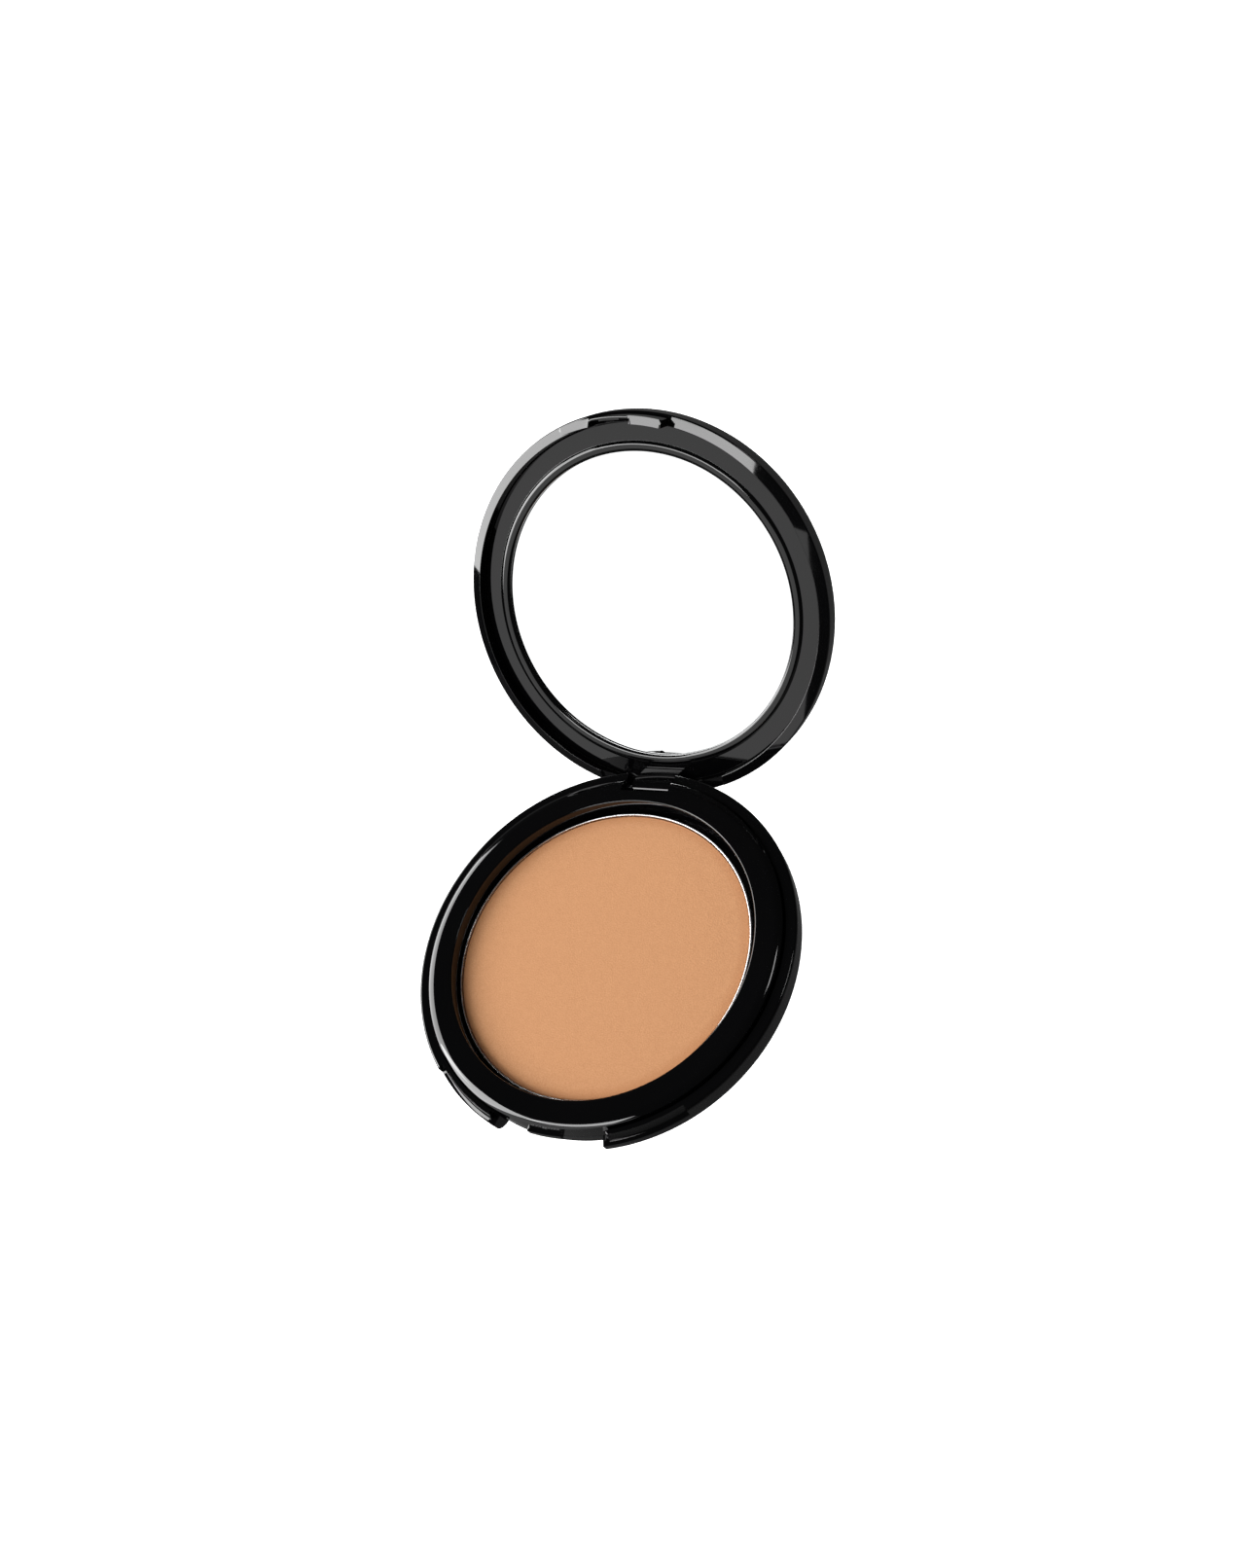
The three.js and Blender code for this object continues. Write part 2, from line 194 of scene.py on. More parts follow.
def block(low, high):
    """A box between two corners."""
    bm = bmesh.new()
    bmesh.ops.create_cube(bm, size=1)
    low, high = Vector(low), Vector(high)
    bmesh.ops.scale(bm, vec=high - low, verts=bm.verts)
    bmesh.ops.translate(bm, vec=(low + high) / 2, verts=bm.verts)
    return bm


print("lathe ready:", len(turn([(1, 0), (2, 0), (2, 1)]).faces), "faces on a test ring")

# %% [markdown]
# ## Cutting and joining
#
# The latch, the scallops and the hinge aren't round. They are cut or joined with an exact Boolean
# while the meshes are still in millimetres. Points that fall together are then welded, and every
# edge sharper than 30 degrees gets a small bevel, because no moulding has a knife edge and the
# thin highlights that it catches are what make black plastic readable.

# %% Booleans and finishing
def as_object(name, bm):
    mesh = bpy.data.meshes.new(name)
    bm.to_mesh(mesh)
    bm.free()
    piece = bpy.data.objects.new(name, mesh)
    scene.collection.objects.link(piece)
    return piece


def apply_modifiers(piece):
    """Keeps what a piece's modifiers make of it."""
    evaluated = piece.evaluated_get(bpy.context.evaluated_depsgraph_get())
    mesh = bpy.data.meshes.new_from_object(evaluated)
    piece.modifiers.clear()
    old = piece.data
    piece.data = mesh
    mesh.name = piece.name
    bpy.data.meshes.remove(old)


def combine(piece, tool_mesh, operation):
    """Cuts, joins or intersects a piece with another mesh, for good."""
    tool = as_object("tool", tool_mesh)
    boolean = piece.modifiers.new("cut", "BOOLEAN")
    boolean.operation = operation
    boolean.solver = "EXACT"
    boolean.object = tool
    apply_modifiers(piece)
    bpy.data.objects.remove(tool)
    return piece


def cut(piece, tool_mesh):
    return combine(piece, tool_mesh, "DIFFERENCE")


def join(piece, tool_mesh):
    return combine(piece, tool_mesh, "UNION")


def taken(piece):
    """The mesh of a helper piece, ready to be joined to another. The helper goes."""
    bm = bmesh.new()
    bm.from_mesh(piece.data)
    bpy.data.objects.remove(piece)
    return bm


def sharp_edges(bm, degrees=30):
    limit = math.radians(degrees)
    return [e for e in bm.edges if len(e.link_faces) == 2 and e.calc_face_angle(0) > limit]


def finish(piece, body, node, material, break_edge=0.1, place=Matrix.Identity(4)):
    """Breaks the sharp edges, puts the piece in place in metres, hangs it on its body and hides its CAD
    piece.
    """
    bm = bmesh.new()
    bm.from_mesh(piece.data)
    bmesh.ops.remove_doubles(bm, verts=bm.verts, dist=0.004)
    bmesh.ops.dissolve_degenerate(bm, edges=bm.edges, dist=0.004)
    if break_edge:
        bmesh.ops.bevel(
            bm, geom=sharp_edges(bm), offset=break_edge, offset_type="OFFSET", affect="EDGES",
            segments=2, profile=0.5, material=-1, clamp_overlap=True, loop_slide=True,
        )
    for face in bm.faces:
        face.smooth = True
    for edge in bm.edges:
        edge.smooth = edge.calc_face_angle(0) < math.radians(40)
    bmesh.ops.transform(bm, matrix=Matrix.Scale(MM, 4) @ place, verts=bm.verts)
    bm.to_mesh(piece.data)
    bm.free()
    # Large faces keep their own normals, so a bevel beside them doesn't make them look dented.
    weighted = piece.modifiers.new("normals", "WEIGHTED_NORMAL")
    weighted.keep_sharp = True
    apply_modifiers(piece)
    piece.data.materials.clear()
    piece.data.materials.append(material)
    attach(piece, body)
    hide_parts(node)
    print(f"{piece.name}: {len(piece.data.polygons)} faces")
    return piece


def sector(corners, start, end):
    """Part of a turned ring, between two angles counted from the front towards +X, in degrees."""
    bm = bmesh.new()
    outline(bm, corners, closed=True)
    bmesh.ops.contextual_create(bm, geom=bm.edges[:])
    front = Matrix.Rotation(math.radians(start - 90), 3, "Z")
    bmesh.ops.rotate(bm, verts=bm.verts, cent=(0, 0, 0), matrix=front)
    bmesh.ops.spin(
        bm, geom=bm.faces[:], cent=(0, 0, 0), axis=(0, 0, 1),
        angle=math.radians(end - start), steps=max(1, round(end - start)),
    )
    bmesh.ops.remove_doubles(bm, verts=bm.verts, dist=0.0005)
    bmesh.ops.recalc_face_normals(bm, faces=bm.faces)
    return bm


def rod(radius, half_length, steps=64):
    """A cylinder along X round the hinge pin, with the lid shut."""
    bm = bmesh.new()
    bmesh.ops.create_cone(
        bm, cap_ends=True, segments=steps, radius1=radius, radius2=radius, depth=2 * half_length,
    )
    bmesh.ops.rotate(bm, verts=bm.verts, matrix=Matrix.Rotation(math.pi / 2, 3, "Y"))
    bmesh.ops.translate(bm, vec=(0, HINGE_Y, HINGE_Z), verts=bm.verts)
    return bm


def side_view(corners, half_width):
    """A side view drawn in (y, z) and pushed out along X to both sides."""
    bm = bmesh.new()
    face = bm.faces.new([bm.verts.new((-half_width, y, z)) for y, z in corners])
    made = bmesh.ops.extrude_face_region(bm, geom=[face])["geom"]
    moved = [part for part in made if isinstance(part, bmesh.types.BMVert)]
    bmesh.ops.translate(bm, vec=(2 * half_width, 0, 0), verts=moved)
    bmesh.ops.recalc_face_normals(bm, faces=bm.faces)
    return bm


LID_PLACE = (
    Matrix.Translation((0, HINGE_Y, HINGE_Z))
    @ Matrix.Rotation(-OPEN_ANGLE, 4, "X")
    @ Matrix.Translation((0, -HINGE_Y, -HINGE_Z))
)

# %% [markdown]
# ## Shared effects
#
# Two effects come back in several finishes, so each is a node group. `handling haze` is what
# fingers leave on a polished surface: patches that are a little less glossy, and a very slow
# waviness of the moulding. `fine grain` is a salt-and-pepper speckle with a matching height.

# %% Node group helpers
def new_group(name, inputs, outputs):
    group = bpy.data.node_groups.new(name, "ShaderNodeTree")
    for label, kind, value in inputs:
        socket = group.interface.new_socket(name=label, in_out="INPUT", socket_type=kind)
        if value is not None:
            socket.default_value = value
    for label, kind in outputs:
        group.interface.new_socket(name=label, in_out="OUTPUT", socket_type=kind)
    return group, group.nodes.new("NodeGroupInput"), group.nodes.new("NodeGroupOutput")


def add(tree, kind, links=None, **settings):
    """Adds a node, sets its plain properties and sockets, and links sockets by name."""
    node = tree.nodes.new(kind)
    for key, value in settings.items():
        if hasattr(node, key):
            setattr(node, key, value)
        else:
            node.inputs[key.replace("_", " ")].default_value = value
    for socket, source in (links or {}).items():
        tree.links.new(source, node.inputs[socket])
    return node


def ramp(tree, source, low, high, dark=0.0, bright=1.0):
    """Stretches a value between low and high to run from dark to bright."""
    node = tree.nodes.new("ShaderNodeMapRange")
    for key, value in zip(("From Min", "From Max", "To Min", "To Max"), (low, high, dark, bright)):
        node.inputs[key].default_value = value
    tree.links.new(source, node.inputs["Value"])
    return node.outputs["Result"]


# %% Handling haze
haze, haze_in, haze_out = new_group(
    "handling haze",
    [
        ("Vector", "NodeSocketVector", None),
        ("Clean", "NodeSocketFloat", 0.05),
        ("Touched", "NodeSocketFloat", 0.12),
    ],
    [("Roughness", "NodeSocketFloat"), ("Height", "NodeSocketFloat")],
)
patches = add(
    haze, "ShaderNodeTexNoise", {"Vector": haze_in.outputs["Vector"]},
    Scale=90.0, Detail=4.0, Roughness=0.6,
)
touched = add(haze, "ShaderNodeMix")
haze.links.new(ramp(haze, patches.outputs["Fac"], 0.45, 0.7), touched.inputs["Factor"])
haze.links.new(haze_in.outputs["Clean"], touched.inputs["A"])
haze.links.new(haze_in.outputs["Touched"], touched.inputs["B"])
haze.links.new(touched.outputs["Result"], haze_out.inputs["Roughness"])
waviness = add(
    haze, "ShaderNodeTexNoise", {"Vector": haze_in.outputs["Vector"]}, Scale=45.0, Detail=1.0,
)
haze.links.new(waviness.outputs["Fac"], haze_out.inputs["Height"])

# %% Fine grain
grain, grain_in, grain_out = new_group(
    "fine grain",
    [("Vector", "NodeSocketVector", None), ("Scale", "NodeSocketFloat", 6000.0)],
    [("Speck", "NodeSocketFloat"), ("Height", "NodeSocketFloat")],
)
specks = add(
    grain, "ShaderNodeTexNoise",
    {"Vector": grain_in.outputs["Vector"], "Scale": grain_in.outputs["Scale"]},
    Detail=3.0, Roughness=0.75,
)
grain.links.new(ramp(grain, specks.outputs["Fac"], 0.3, 0.7), grain_out.inputs["Speck"])
cells = add(
    grain, "ShaderNodeTexVoronoi",
    {"Vector": grain_in.outputs["Vector"], "Scale": grain_in.outputs["Scale"]},
)
grain.links.new(cells.outputs["Distance"], grain_out.inputs["Height"])
print("groups:", haze.name, "and", grain.name)


# %% Starting a finish
def new_finish(name, **values):
    """A material with one Principled BSDF, whose constant sockets are set by name."""
    material = bpy.data.materials.new(name)
    material.use_nodes = True
    tree = material.node_tree
    shader = tree.nodes["Principled BSDF"]
    for key, value in values.items():
        shader.inputs[key.replace("_", " ")].default_value = value
    place = tree.nodes.new("ShaderNodeTexCoord").outputs["Object"]
    return material, tree, shader, place


def use_group(tree, group, place, **values):
    node = tree.nodes.new("ShaderNodeGroup")
    node.node_tree = group
    tree.links.new(place, node.inputs["Vector"])
    for key, value in values.items():
        node.inputs[key].default_value = value
    return node


def bump(tree, shader, height, strength, distance):
    node = add(tree, "ShaderNodeBump", {"Height": height}, Strength=strength, Distance=distance)
    tree.links.new(node.outputs["Normal"], shader.inputs["Normal"])
    return node


def two_tone(tree, shader, factor, dark, bright):
    node = tree.nodes.new("ShaderNodeMix")
    node.data_type = "RGBA"
    node.inputs[6].default_value = (*dark, 1)
    node.inputs[7].default_value = (*bright, 1)
    tree.links.new(factor, node.inputs["Factor"])
    tree.links.new(node.outputs[2], shader.inputs["Base Color"])
    return node


# %% [markdown]
# ## Case plastic
#
# The case is polished black styrene. Its own colour hardly shows: what is seen is the studio,
# mirrored at about four per cent. So the finish is in the roughness, which is nearly nil where
# the mould was polished and a touch higher where it was held, and in a barely bent surface.

# %% Case plastic
case_plastic, tree, shader, place = new_finish("case plastic", IOR=1.5)
held = use_group(tree, haze, place, Clean=0.035, Touched=0.07)
tree.links.new(held.outputs["Roughness"], shader.inputs["Roughness"])
two_tone(tree, shader, held.outputs["Height"], (0.0006, 0.0006, 0.0007), (0.0014, 0.0014, 0.0016))
bump(tree, shader, held.outputs["Height"], 0.05, 0.0006)
print(case_plastic.name)

# %% [markdown]
# ## Pressed powder
#
# Pressed powder is a matt cake of tan pigment with paler and browner grains. The speckle is a
# third of a millimetre wide. Over the last two millimetres by the pan's rim the cake is painted
# browner: painted shade, standing in for the rim's shadow on the powder.

# %% Pressed powder
pressed_powder, tree, shader, place = new_finish("pressed powder", Roughness=0.92)
shader.inputs["Specular IOR Level"].default_value = 0.15
speckle = use_group(tree, grain, place, Scale=3500.0)
cloud = add(tree, "ShaderNodeTexNoise", {"Vector": place}, Scale=900.0, Detail=2.0)
tone = add(tree, "ShaderNodeMath", operation="MULTIPLY_ADD")
tone.inputs[1].default_value = 0.85
tree.links.new(speckle.outputs["Speck"], tone.inputs[0])
tree.links.new(ramp(tree, cloud.outputs["Fac"], 0.3, 0.7, 0.0, 0.15), tone.inputs[2])
body_colour = tree.nodes.new("ShaderNodeMix")
body_colour.data_type = "RGBA"
body_colour.inputs[6].default_value = (0.405, 0.192, 0.09, 1)
body_colour.inputs[7].default_value = (0.512, 0.263, 0.13, 1)
tree.links.new(tone.outputs[0], body_colour.inputs["Factor"])
centred = add(
    tree, "ShaderNodeVectorMath", {0: place}, operation="SUBTRACT",
)
centred.inputs[1].default_value = (PAN_CENTRE.x * MM, PAN_CENTRE.y * MM, cake_high.z * MM)
distance = add(tree, "ShaderNodeVectorMath", {0: centred.outputs[0]}, operation="LENGTH")
# Painted shade: a ramp from the pan's centre that turns the cake browner by the rim, for the rim's shadow.
edge = ramp(
    tree, distance.outputs["Value"], (CAKE_RADIUS - 2.2) * MM, (CAKE_RADIUS - 0.1) * MM, 0.0, 0.55,
)
# The colour of the painted rim shade.
rim_shade_colour = tree.nodes.new("ShaderNodeMix")
rim_shade_colour.data_type = "RGBA"
rim_shade_colour.inputs[7].default_value = (0.36, 0.15, 0.062, 1)
tree.links.new(edge, rim_shade_colour.inputs["Factor"])
tree.links.new(body_colour.outputs[2], rim_shade_colour.inputs[6])
tree.links.new(rim_shade_colour.outputs[2], shader.inputs["Base Color"])
bump(tree, shader, speckle.outputs["Height"], 0.35, 0.00008)
print(pressed_powder.name)

# %% [markdown]
# ## Metals, mirror and adhesive
#
# The pan is bare rolled aluminium, pressed to shape, with faint rings from the press. The hinge
# pin is drawn wire, so its lines run along it. The mirror is silvered float glass: it needs a
# nearly clean reflection with a trace of haze. The adhesive is an off-white film.

# %% Pan aluminium
pan_aluminium, tree, shader, place = new_finish("pan aluminium", Metallic=1.0)
rings = add(
    tree, "ShaderNodeTexWave", {"Vector": place},
    wave_type="RINGS", rings_direction="Z", Scale=900.0, Distortion=2.0, Detail=2.0,
)
two_tone(tree, shader, rings.outputs["Fac"], (0.78, 0.79, 0.80), (0.92, 0.92, 0.93))
rolled = ramp(tree, rings.outputs["Fac"], 0.0, 1.0, 0.22, 0.34)
tree.links.new(rolled, shader.inputs["Roughness"])
bump(tree, shader, rings.outputs["Fac"], 0.15, 0.00002)

# %% Pin steel
pin_steel, tree, shader, place = new_finish("pin steel", Metallic=1.0)
stretch = add(tree, "ShaderNodeMapping", {"Vector": place})
stretch.inputs["Scale"].default_value = (60, 6000, 6000)
drawn = add(tree, "ShaderNodeTexNoise", {"Vector": stretch.outputs["Vector"]}, Scale=1.0)
two_tone(tree, shader, drawn.outputs["Fac"], (0.42, 0.43, 0.44), (0.66, 0.67, 0.68))
tree.links.new(ramp(tree, drawn.outputs["Fac"], 0.3, 0.7, 0.25, 0.45), shader.inputs["Roughness"])
bump(tree, shader, drawn.outputs["Fac"], 0.2, 0.00001)

# %% Mirror
mirror_glass, tree, shader, place = new_finish("mirror glass", Metallic=1.0)
film = use_group(tree, haze, place, Clean=0.0, Touched=0.015)
tree.links.new(film.outputs["Roughness"], shader.inputs["Roughness"])
two_tone(tree, shader, film.outputs["Height"], (0.93, 0.94, 0.94), (0.97, 0.98, 0.98))

# %% Adhesive
adhesive, tree, shader, place = new_finish("adhesive", IOR=1.45)
dried = use_group(tree, grain, place, Scale=900.0)
two_tone(tree, shader, dried.outputs["Speck"], (0.62, 0.58, 0.48), (0.78, 0.75, 0.66))
tree.links.new(ramp(tree, dried.outputs["Speck"], 0, 1, 0.5, 0.7), shader.inputs["Roughness"])
bump(tree, shader, dried.outputs["Height"], 0.3, 0.00005)

for node, material in (
    ("pan_adhesive", adhesive), ("mirror_adhesive", adhesive), ("hinge_pin", pin_steel),
):
    frame["nodes"][node].data.materials.clear()
    frame["nodes"][node].data.materials.append(material)
print("finishes:", len(bpy.data.materials))

# %% [markdown]
# ## Base shell
#
# The shell is a shallow dish: underside, rounded corner, side wall, and the flange that the lid
# lands on. The latch recess goes right through the wall at the front. On each side of it the
# upper wall is scooped back for a fingertip, and the rear has the notch for the lid's knuckle.

# %% Base shell
RECESS = 17
RECESS_TOP = 19
SCALLOP_END = 42
SCALLOP_TOP_RADIUS = 37.2
SCALLOP_LEDGE_RADIUS = 37.85
SCALLOP_LEDGE = 3.4
FLANGE_INNER = SKIRT_RADIUS + GAP
BEYOND = CASE_RADIUS + 2

base_shell = as_object("base_shell_moulding", turn(
    [
        (0, 0), (CASE_RADIUS, 0, 2.2), (CASE_RADIUS, FLANGE_TOP, 0.55),
        (FLANGE_INNER, FLANGE_TOP), (FLANGE_INNER, FLOOR), (0, FLOOR),
    ],
    closed=False,
))
for half_angle, low, high in ((RECESS, -1, SCALLOP_LEDGE), (RECESS_TOP, SCALLOP_LEDGE, 9)):
    corners = [(34, low), (BEYOND, low), (BEYOND, high), (34, high)]
    cut(base_shell, sector(corners, -half_angle, half_angle))
for start, end in ((-SCALLOP_END, -RECESS + 1), (RECESS - 1, SCALLOP_END)):
    cove = [
        (SCALLOP_TOP_RADIUS, 9), (SCALLOP_TOP_RADIUS, FLANGE_TOP - 0.2),
        (SCALLOP_TOP_RADIUS + 0.1, 4.6), (SCALLOP_TOP_RADIUS + 0.25, 3.9),
        (SCALLOP_LEDGE_RADIUS - 0.15, 3.5), (SCALLOP_LEDGE_RADIUS, SCALLOP_LEDGE),
        (BEYOND, SCALLOP_LEDGE - 0.25), (BEYOND, 9),
    ]
    cut(base_shell, sector(cove, start, end))
bosses = as_object("bosses", block((-BOSS_END, BOSS_FRONT, FLOOR / 2), (BOSS_END, BEYOND, BOSS_TOP)))
combine(bosses, turn([(0, 0), (CASE_RADIUS - 1.1, 0), (CASE_RADIUS - 1.1, 9), (0, 9)], False), "INTERSECT")
join(base_shell, taken(bosses))
cut(base_shell, block((-NOTCH_HALF, NOTCH_FRONT, -1), (NOTCH_HALF, BEYOND, 9)))
cut(base_shell, rod(PIN_BORE, BOSS_END - 0.6, 32))
finish(base_shell, "base", "base_shell", case_plastic)

# %% [markdown]
# ## Inner tray
#
# The tray carries the deck, its rounded shoulder and the well. Its skirt shows in the latch
# recess, with the little ledge that the lid's tab catches under.

# %% Inner tray
SHOULDER_BEND = (SHOULDER_RUN ** 2 + SHOULDER_DROP ** 2) / (2 * SHOULDER_DROP)
SHOULDER_TILT = math.asin(SHOULDER_RUN / SHOULDER_BEND)


def on_shoulder(share):
    """A point on the shoulder's curve: share 1 is its outer edge, share 0 its deck end."""
    tilt = SHOULDER_TILT * share
    return (
        SKIRT_RADIUS - 0.1 - SHOULDER_RUN + SHOULDER_BEND * math.sin(tilt),
        DECK_TOP - SHOULDER_BEND + SHOULDER_BEND * math.cos(tilt),
    )


tray = as_object("inner_tray_moulding", turn([
    (SKIRT_RADIUS, SKIRT_FOOT), *[on_shoulder(1 - step / 12) for step in range(13)],
    (WELL_RADIUS, DECK_TOP, 0.3), (WELL_RADIUS - 0.3, SKIRT_FOOT),
    (WELL_RADIUS + 0.7, SKIRT_FOOT), (WELL_RADIUS + 1, DECK_TOP - 1),
    (SKIRT_RADIUS - 1, DECK_TOP - 1), (SKIRT_RADIUS - 1, SKIRT_FOOT),
]))
apron = [
    (SKIRT_RADIUS - 0.95, 0), (SKIRT_RADIUS, 0),
    (SKIRT_RADIUS, SKIRT_FOOT + 1), (SKIRT_RADIUS - 0.95, SKIRT_FOOT + 1),
]
join(tray, sector(apron, -RECESS + 0.4, RECESS - 0.4))
catch = [
    (SKIRT_RADIUS - 0.5, 3.7), (SKIRT_RADIUS + 1, 3.7),
    (SKIRT_RADIUS + 1, 5.2), (SKIRT_RADIUS - 0.5, 5.2),
]
join(tray, sector(catch, -5.25, 5.25))
cut(tray, block((-BOSS_END - GAP, BOSS_FRONT - GAP, -1), (BOSS_END + GAP, BEYOND, BOSS_TOP + GAP)))
cut(tray, block((-NOTCH_HALF, NOTCH_FRONT, -1), (NOTCH_HALF, BEYOND, 9)))
wall = block((-NOTCH_HALF, NOTCH_FRONT - 1, SKIRT_FOOT), (NOTCH_HALF, NOTCH_FRONT, DECK_TOP - 0.8))
join(tray, wall)
rib_foot = HINGE_Z - HEEL_RADIUS * math.sin(math.radians(10)) + GAP
rib_reach = HINGE_Y - KNUCKLE_RADIUS - GAP / 2
join(tray, block((-KNUCKLE_HALF, NOTCH_FRONT - 0.2, rib_foot), (KNUCKLE_HALF, rib_reach, rib_foot + 0.6)))
finish(tray, "base", "inner_tray", case_plastic)

# %% [markdown]
# ## Pan and powder
#
# The pan is a thin dish, and its rim is the bright ring round the powder. The cake sits a little
# below the rim, with a soft shoulder and a slight crown.

# %% Pan and powder
PAN_SHEET = 0.35
off_centre = Matrix.Translation((PAN_CENTRE.x, PAN_CENTRE.y, 0))
pan = as_object("powder_pan_pressing", turn(
    [
        (0, pan_low.z), (PAN_RADIUS, pan_low.z, 0.5), (PAN_RADIUS, PAN_TOP, 0.16),
        (PAN_RADIUS - PAN_SHEET, PAN_TOP, 0.16), (PAN_RADIUS - PAN_SHEET, pan_low.z + PAN_SHEET),
        (0, pan_low.z + PAN_SHEET),
    ],
    closed=False,
))
finish(pan, "base", "powder_pan", pan_aluminium, 0, off_centre)

cake = as_object("powder_cake_pressed", turn(
    [
        (0, cake_low.z), (CAKE_RADIUS, cake_low.z), (CAKE_RADIUS, cake_high.z - 0.15, 0.25),
        (CAKE_RADIUS - 5, cake_high.z - 0.05, 3), (0, cake_high.z),
    ],
    closed=False,
))
finish(cake, "base", "powder_cake", pressed_powder, 0, off_centre)

# %% [markdown]
# ## Lid shell
#
# The lid is a deeper dish, drawn shut. It carries the latch tab with a pocket in its middle, and
# at the back the arm that reaches down to the knuckle on the pin. Behind the pin the rim is cut
# back, so that it swings past the base.

# %% Lid shell
TAB = 16.4
TAB_FOOT = RIM_LEVEL - 3.55
TAB_OUTER = CASE_RADIUS - 0.4
TAB_INNER = TAB_OUTER - 1.5
TAB_SKIN = TAB_OUTER - 0.48
TAB_SLANT = 0.37
BEAD_FOOT = TAB_FOOT + TAB_SLANT
POCKET = 6.5
swing_half = math.sqrt(CASE_RADIUS ** 2 - HINGE_Y ** 2) + GAP

lid = as_object("lid_shell_moulding", turn(
    [
        (0, LID_TOP), (CASE_RADIUS, LID_TOP, 3.0), (CASE_RADIUS, RIM_LEVEL + RIM_SLOPE, 0.25),
        (LID_INNER, RIM_LEVEL, 0.15), (LID_CAVITY, RING_BACK), (LID_CAVITY, LID_TOP - 1.2),
        (0, LID_TOP - 1.2),
    ],
    closed=False,
))
cut(lid, rod(4.25, swing_half))


tab = as_object("tab", sector(
    [
        (TAB_INNER, TAB_FOOT), (TAB_OUTER, TAB_FOOT + TAB_SLANT), (TAB_OUTER, RIM_LEVEL + 0.9),
        (TAB_INNER, RIM_LEVEL + 0.9),
    ],
    -TAB, TAB,
))
pocket = [
    (TAB_INNER - 1, TAB_FOOT - 1), (TAB_SKIN, TAB_FOOT - 1), (TAB_SKIN, RIM_LEVEL + 2),
    (TAB_INNER - 1, RIM_LEVEL + 2),
]
cut(tab, sector(pocket, -POCKET, POCKET))
bead = [
    (TAB_SKIN - 0.32, BEAD_FOOT), (TAB_SKIN + 0.08, BEAD_FOOT),
    (TAB_SKIN + 0.08, BEAD_FOOT + 0.5), (TAB_SKIN - 0.32, BEAD_FOOT + 0.5),
]
join(tab, sector(bead, -POCKET / 2, POCKET / 2))
join(lid, taken(tab))
arm = [
    (HINGE_Y - KNUCKLE_RADIUS, HINGE_Z), (NOTCH_FRONT + 0.5, DECK_TOP + 0.25),
    (NOTCH_FRONT + 0.5, RING_LEVEL - GAP), (CASE_RADIUS - 0.8, RING_LEVEL - GAP),
    (CASE_RADIUS - 0.35, RIM_LEVEL), (HINGE_Y + KNUCKLE_RADIUS, HINGE_Z),
]
join(lid, side_view(arm, KNUCKLE_HALF))
join(lid, rod(KNUCKLE_RADIUS, KNUCKLE_HALF))
heel = [(HINGE_Y, HINGE_Z)]
for angle in (-42.5, -30.5, -18.5):
    turned = math.radians(angle)
    heel.append((
        HINGE_Y + HEEL_RADIUS * math.cos(turned), HINGE_Z + HEEL_RADIUS * math.sin(turned),
    ))
join(lid, side_view(heel, KNUCKLE_HALF))
cut(lid, rod(0.77, KNUCKLE_HALF + 2, 32))
finish(lid, "lid", "lid_shell", case_plastic, place=LID_PLACE)

# %% [markdown]
# ## Mirror frame and mirror
#
# A flat ring with a raised lip hides the mirror's cut edge. The mirror is a disc of float glass
# with a ground edge.

# %% Mirror frame and mirror
RIB = MIRROR_RADIUS + GAP
BEAD_HALF = 1.0
BEAD_RISE = RING_LEVEL - BEAD_TOP
BEAD_BEND = (BEAD_HALF ** 2 + BEAD_RISE ** 2) / (2 * BEAD_RISE)
BEAD_TILT = math.asin(BEAD_HALF / BEAD_BEND)


def on_bead(share):
    """A point on the bead's curve: share 1 is where it meets the ring, share -1 its inner edge."""
    tilt = BEAD_TILT * share
    return (
        MIRROR_OPENING + BEAD_HALF + BEAD_BEND * math.sin(tilt),
        BEAD_TOP + BEAD_BEND - BEAD_BEND * math.cos(tilt),
    )


frame_ring = as_object("mirror_frame_moulding", turn([
    (MIRROR_OPENING, RING_BACK), (RIB, RING_BACK), (RIB, LID_TOP - 1.5),
    (RIB + 1, LID_TOP - 1.5), (RIB + 1, RING_BACK), (LID_CAVITY - 0.1, RING_BACK),
    (LID_CAVITY - 0.1, RING_LEVEL), *[on_bead(1 - step / 8) for step in range(17)],
]))
finish(frame_ring, "lid", "mirror_frame", case_plastic, 0.05, LID_PLACE)

mirror = as_object("mirror_disc", turn(
    [
        (0, MIRROR_FRONT), (MIRROR_RADIUS, MIRROR_FRONT, 0.15),
        (MIRROR_RADIUS, MIRROR_BACK, 0.15), (0, MIRROR_BACK),
    ],
    closed=False,
))
finish(mirror, "lid", "mirror", mirror_glass, 0, LID_PLACE)

# %% [markdown]
# ## Studio
#
# The compact hangs over a plain white floor. A glossy black thing shows only what it mirrors,
# so the lights are cards: one white card in front to the left, which the mirror and the flat
# rings face, and a bright softbox further left for the rims. Overhead it stays dark, and a fill
# that no gloss can see lights the powder and the floor.

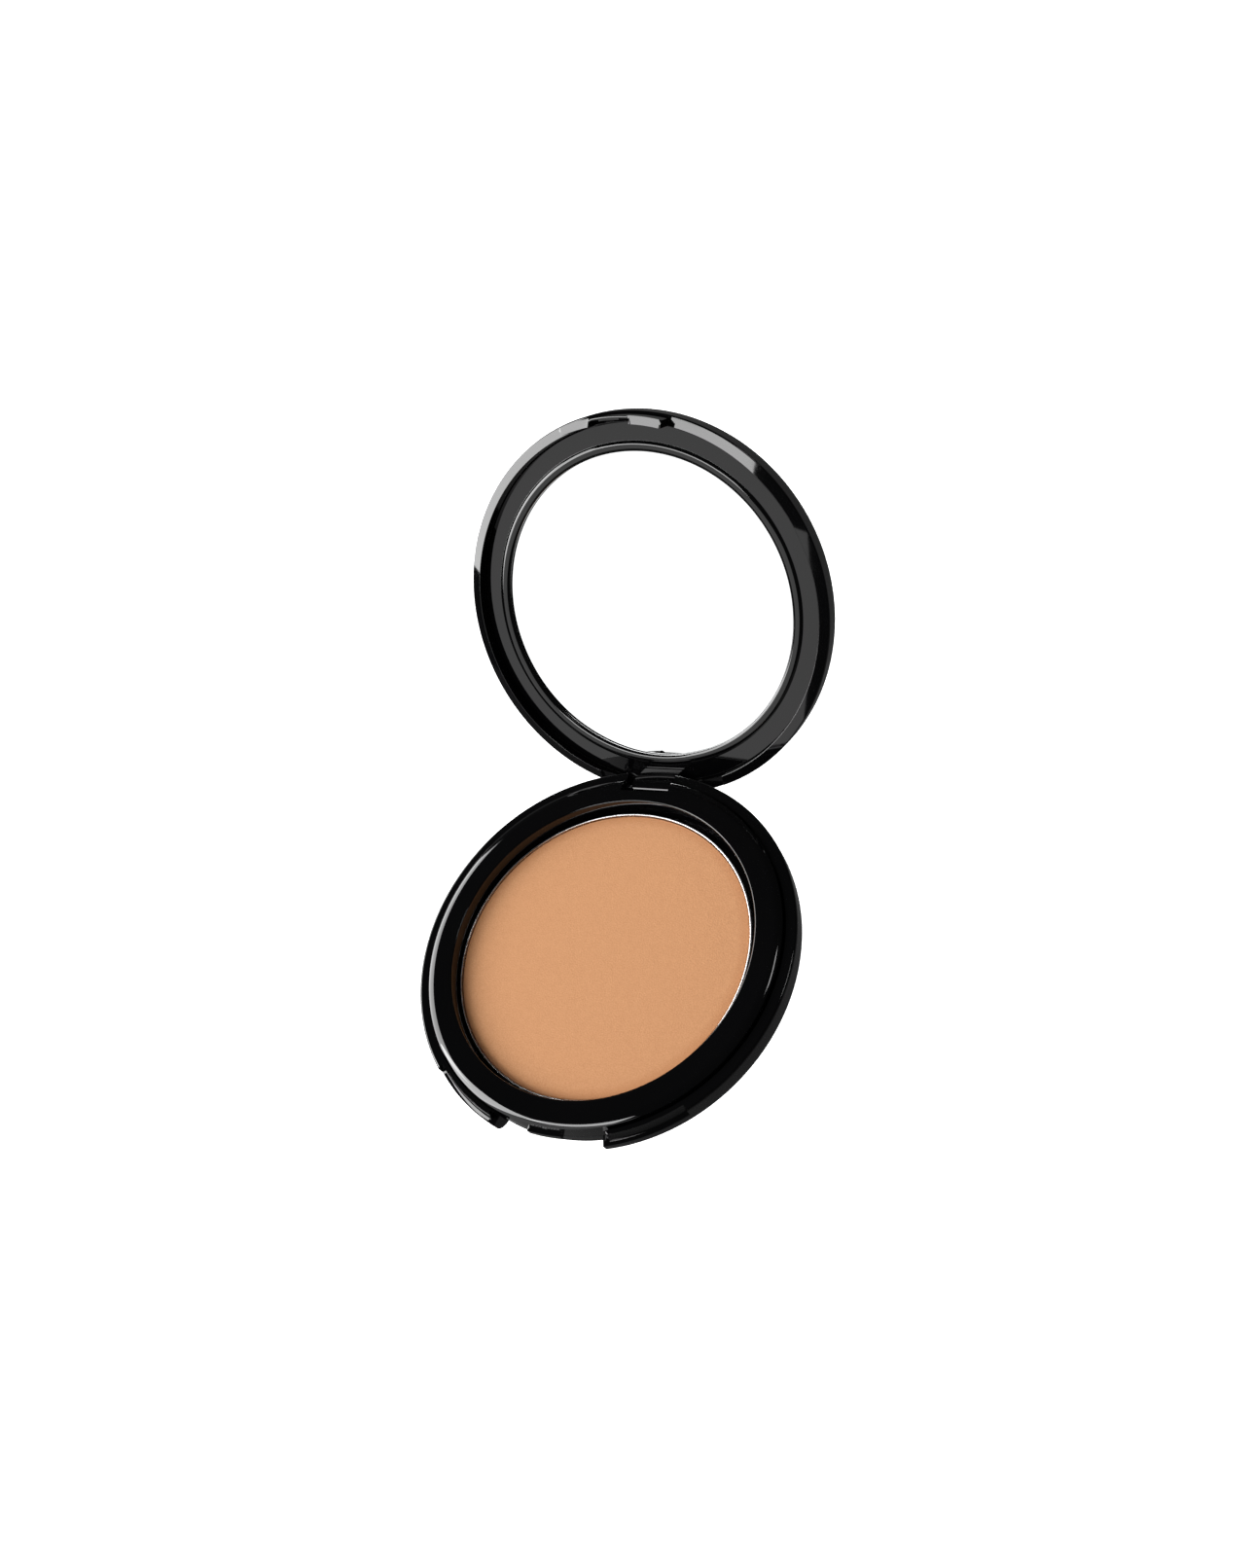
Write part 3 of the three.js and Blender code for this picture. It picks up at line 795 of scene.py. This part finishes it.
# %% Studio
def floor_finish():
    material, tree, shader, place = new_finish("floor paper", Roughness=0.9)
    shader.inputs["Specular IOR Level"].default_value = 0.0
    fibre = add(tree, "ShaderNodeTexNoise", {"Vector": place}, Scale=400.0, Detail=2.0)
    two_tone(tree, shader, fibre.outputs["Fac"], (0.86, 0.86, 0.86), (0.9, 0.9, 0.9))
    shader.inputs["Emission Color"].default_value = (1, 1, 1, 1)
    shader.inputs["Emission Strength"].default_value = 0.75
    # Gloss sees a dim floor, so the black walls don't turn grey.
    dim = add(tree, "ShaderNodeEmission", Strength=0.12)
    seen = tree.nodes.new("ShaderNodeLightPath")
    either = tree.nodes.new("ShaderNodeMixShader")
    tree.links.new(seen.outputs["Is Glossy Ray"], either.inputs["Fac"])
    tree.links.new(shader.outputs[0], either.inputs[1])
    tree.links.new(dim.outputs[0], either.inputs[2])
    tree.links.new(either.outputs[0], tree.nodes["Material Output"].inputs["Surface"])
    return material


FLOOR_DROP = 0.05
floor_mesh = bmesh.new()
bmesh.ops.create_grid(floor_mesh, x_segments=1, y_segments=1, size=6)
bmesh.ops.translate(floor_mesh, vec=(0, 0, cad_box[0][2] - FLOOR_DROP), verts=floor_mesh.verts)
floor = as_object("floor", floor_mesh)
floor.data.materials.append(floor_finish())


def softbox(name, azimuth, elevation, distance, size, radiance, gloss=True):
    """A rectangular light that faces the compact. Azimuth is counted from the front to the left."""
    turn_left, lift = math.radians(azimuth), math.radians(elevation)
    direction = Vector((
        -math.sin(turn_left) * math.cos(lift), -math.cos(turn_left) * math.cos(lift),
        math.sin(lift),
    ))
    light = bpy.data.lights.new(name, "AREA")
    light.shape = "RECTANGLE"
    light.size, light.size_y = size
    light.energy = radiance * math.pi * size[0] * size[1]
    lamp = bpy.data.objects.new(name, light)
    scene.collection.objects.link(lamp)
    lamp.location = Vector((0, 0.02, 0.01)) + direction * distance
    lamp.rotation_euler = (-direction).to_track_quat("-Z", "Y").to_euler()
    lamp.visible_glossy = gloss
    return lamp


softbox("front_card", 24, 22, 1.0, (1.1, 0.86), 1.2)
softbox("high_softbox", 68, 34, 1.0, (0.42, 0.72), 10.0)
softbox("front_strip", 28, 54, 1.0, (0.58, 0.2), 9.5)
softbox("right_glint", -122, 57, 1.0, (0.24, 0.1), 7.0)
softbox("left_softbox", 98, 16, 0.9, (0.75, 0.85), 6.0)
softbox("overhead_fill", 0, 88, 1.2, (1.6, 1.6), 0.5, gloss=False)

# %% World
world = bpy.data.worlds.new("studio")
scene.world = world
world.use_nodes = True
sky = world.node_tree
background = sky.nodes["Background"]
background.inputs["Color"].default_value = (1, 1, 1, 1)
seen = sky.nodes.new("ShaderNodeLightPath")
strength = add(sky, "ShaderNodeMix")
strength.inputs["A"].default_value = 0.03
strength.inputs["B"].default_value = 1.0
sky.links.new(seen.outputs["Is Camera Ray"], strength.inputs["Factor"])
sky.links.new(strength.outputs["Result"], background.inputs["Strength"])
scene.view_settings.view_transform = "Standard"
scene.view_settings.look = "None"
print("studio ready")
